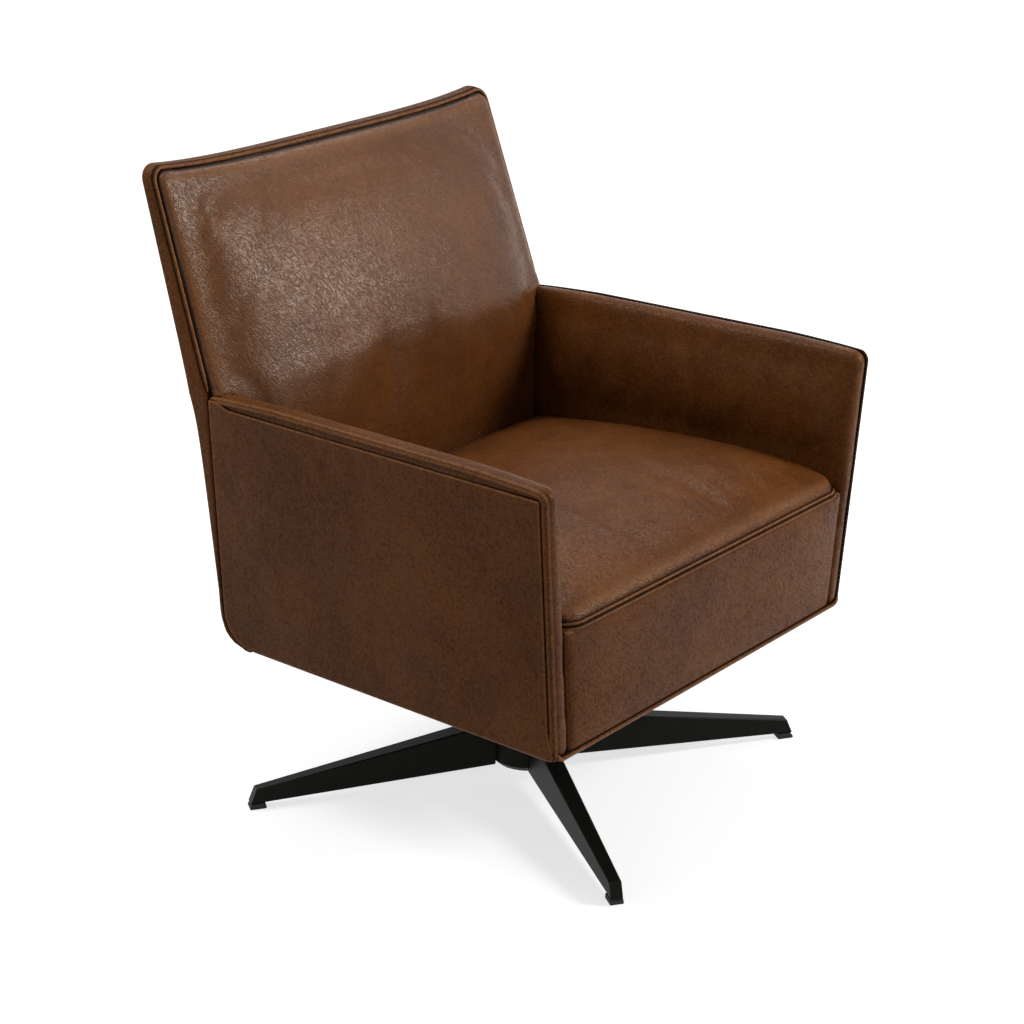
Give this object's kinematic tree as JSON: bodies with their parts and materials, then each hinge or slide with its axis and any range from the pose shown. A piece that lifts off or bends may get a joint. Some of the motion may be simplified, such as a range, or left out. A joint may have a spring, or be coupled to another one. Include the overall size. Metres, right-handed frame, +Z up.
{
  "type": "swivel rocker",
  "caption": "Low padded leather lounge armchair that swivels and rocks on a black base with splayed tapered legs.",
  "frame": {"origin": "on the floor, at the middle of the chair's width and depth", "axes": "+Z up, +Y towards the back of the chair, +X towards the sitter's left"},
  "size_m": [0.735, 0.7144, 0.892],
  "materials": {
    "leather": "dark brown pebbled leather with a soft worn sheen",
    "powder_coat": "satin black powder coat",
    "rubber": "matte black rubber",
    "steel": "zinc plated steel",
    "spring_steel": "dark oiled spring steel",
    "nylon": "natural nylon",
    "frame_wood": "sawn hardwood",
    "plywood": "plywood",
    "webbing": "woven elastic webbing",
    "foam": "soft upholstery foam",
    "lining": "thin black lining cloth"
  },
  "bodies": {
    "base": {"base_hub": "powder_coat", "leg_front_right": "powder_coat", "leg_front_left": "powder_coat", "leg_rear_left": "powder_coat", "leg_rear_right": "powder_coat", "floor_pad_front_right": "rubber", "floor_pad_front_left": "rubber", "floor_pad_rear_left": "rubber", "floor_pad_rear_right": "rubber", "spindle": "steel", "spindle_nut": "steel", "thrust_washer": "nylon"},
    "swivel": {"swivel_housing": "powder_coat", "swivel_bush": "nylon", "rocker_bracket": "powder_coat", "rock_axle": "steel", "axle_clip_left": "steel", "axle_clip_right": "steel", "rock_spring_front_right": "spring_steel", "rock_spring_front_left": "spring_steel", "rock_spring_rear_left": "spring_steel", "rock_spring_rear_right": "spring_steel", "rock_stop_front": "rubber", "rock_stop_rear": "rubber"},
    "seat": {"seat_plate": "powder_coat", "rock_bush_left": "nylon", "rock_bush_right": "nylon", "plate_bolt_front_right": "steel", "plate_bolt_front_left": "steel", "plate_bolt_rear_left": "steel", "plate_bolt_rear_right": "steel", "cross_rail_front": "frame_wood", "cross_rail_rear": "frame_wood", "seat_rail_left": "frame_wood", "seat_rail_right": "frame_wood", "seat_rail_front": "frame_wood", "seat_rail_rear": "frame_wood", "seat_webbing_right": "webbing", "seat_webbing_middle": "webbing", "seat_webbing_left": "webbing", "seat_foam": "foam", "seat_cover": "leather", "seat_front_panel": "leather", "side_panel_left": "leather", "arm_board_left": "plywood", "arm_pad_left": "leather", "side_panel_right": "leather", "arm_board_right": "plywood", "arm_pad_right": "leather", "back_post_left": "frame_wood", "back_post_right": "frame_wood", "back_rail_bottom": "frame_wood", "back_rail_top": "frame_wood", "back_webbing_lower": "webbing", "back_webbing_upper": "webbing", "back_foam": "foam", "back_cover": "leather", "outer_back": "leather", "dust_cover": "lining"}
  },
  "joints": [
    {"name": "swivel", "type": "hinge", "parent": "base", "child": "swivel", "pos_m": [0, -0.02007, 0.13], "axis": [0, 0, 1], "continuous": true},
    {"name": "rock", "type": "hinge", "parent": "swivel", "child": "seat", "pos_m": [0, -0.02007, 0.19], "axis": [-1, 0, 0], "range_deg": [-5, 10], "stiffness_Nm_per_rad": 520, "springref_deg": -0.36, "deforming": ["rock_spring_front_right", "rock_spring_front_left", "rock_spring_rear_left", "rock_spring_rear_right"]}
  ]
}
